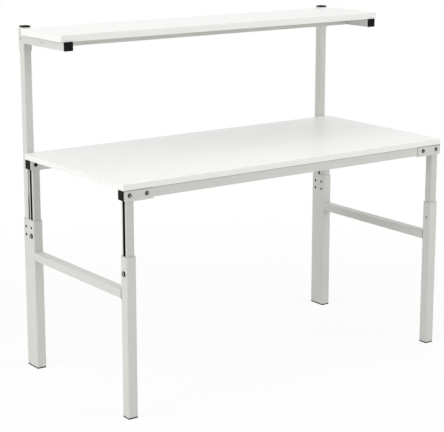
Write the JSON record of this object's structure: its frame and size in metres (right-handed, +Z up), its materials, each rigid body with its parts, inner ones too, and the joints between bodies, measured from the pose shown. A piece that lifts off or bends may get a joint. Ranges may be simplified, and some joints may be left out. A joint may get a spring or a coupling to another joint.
{
  "type": "antistatic workbench",
  "caption": "Antistatic workbench: a white laminate worktop on slotted telescopic steel legs that clamp at the wanted height, with a shelf on uprights above its rear half.",
  "frame": {"origin": "on the floor, under the middle of the bench's box", "axes": "+X along the worktop's length to the right, +Y from front to rear, +Z up"},
  "size_m": [1.5, 0.746, 1.331],
  "materials": {
    "laminate": "white antistatic laminate, satin",
    "powder_coat": "grey-white powder coat, satin",
    "black_plastic": "moulded, matt",
    "grey_plastic": "moulded glide, matt",
    "black_steel": "black oxide",
    "zinc": "zinc plated"
  },
  "bodies": {
    "frame": {"arm_cap_left": "black_plastic", "arm_cap_right": "black_plastic", "clamp_nut_front_left": "zinc", "clamp_nut_front_right": "zinc", "clamp_nut_rear_left": "zinc", "clamp_nut_rear_right": "zinc", "cross_tube_left": "powder_coat", "cross_tube_right": "powder_coat", "foot_front_left": "black_plastic", "foot_front_right": "black_plastic", "foot_rear_left": "black_plastic", "foot_rear_right": "black_plastic", "leg_bush_front_left": "grey_plastic", "leg_bush_front_right": "grey_plastic", "leg_bush_rear_left": "grey_plastic", "leg_bush_rear_right": "grey_plastic", "outer_leg_front_left": "powder_coat", "outer_leg_front_right": "powder_coat", "outer_leg_rear_left": "powder_coat", "outer_leg_rear_right": "powder_coat", "shelf_arm_left": "powder_coat", "shelf_arm_right": "powder_coat", "shelf_beam": "powder_coat", "shelf_board": "laminate", "upright_cap_left": "black_plastic", "upright_cap_right": "black_plastic", "upright_left": "powder_coat", "upright_right": "powder_coat"},
    "worktop": {"bracket_bolt_front_left_inner": "black_steel", "bracket_bolt_front_left_outer": "black_steel", "bracket_bolt_front_right_inner": "black_steel", "bracket_bolt_front_right_outer": "black_steel", "bracket_bolt_rear_left_inner": "black_steel", "bracket_bolt_rear_left_outer": "black_steel", "bracket_bolt_rear_right_inner": "black_steel", "bracket_bolt_rear_right_outer": "black_steel", "front_rail": "powder_coat", "inner_leg_front_left": "powder_coat", "inner_leg_front_right": "powder_coat", "inner_leg_rear_left": "powder_coat", "inner_leg_rear_right": "powder_coat", "leg_bracket_front_left": "powder_coat", "leg_bracket_front_right": "powder_coat", "leg_bracket_rear_left": "powder_coat", "leg_bracket_rear_right": "powder_coat", "leg_guide_front_left": "grey_plastic", "leg_guide_front_right": "grey_plastic", "leg_guide_rear_left": "grey_plastic", "leg_guide_rear_right": "grey_plastic", "rail_cap_front_left": "black_plastic", "rail_cap_front_right": "black_plastic", "rail_cap_rear_left": "black_plastic", "rail_cap_rear_right": "black_plastic", "rear_rail": "powder_coat", "tabletop": "laminate"},
    "lock_front_left": {"lock_bolt_front_left": "black_steel"},
    "lock_front_right": {"lock_bolt_front_right": "black_steel"},
    "lock_rear_left": {"lock_bolt_rear_left": "black_steel"},
    "lock_rear_right": {"lock_bolt_rear_right": "black_steel"}
  },
  "joints": [
    {"name": "height_slide", "type": "slide", "parent": "frame", "child": "worktop", "axis": [0, 0, 1], "range_m": [-0.15, 0.05]},
    {"name": "lock_front_left_turn", "type": "hinge", "parent": "frame", "child": "lock_front_left", "pos_m": [-0.7403, -0.3482, 0.53], "axis": [-1, 0, 0], "range_deg": [0, 360]},
    {"name": "lock_front_right_turn", "type": "hinge", "parent": "frame", "child": "lock_front_right", "pos_m": [0.7403, -0.3482, 0.53], "axis": [1, 0, 0], "range_deg": [0, 360]},
    {"name": "lock_rear_left_turn", "type": "hinge", "parent": "frame", "child": "lock_rear_left", "pos_m": [-0.7403, 0.313, 0.53], "axis": [-1, 0, 0], "range_deg": [0, 360]},
    {"name": "lock_rear_right_turn", "type": "hinge", "parent": "frame", "child": "lock_rear_right", "pos_m": [0.7403, 0.313, 0.53], "axis": [1, 0, 0], "range_deg": [0, 360]}
  ]
}
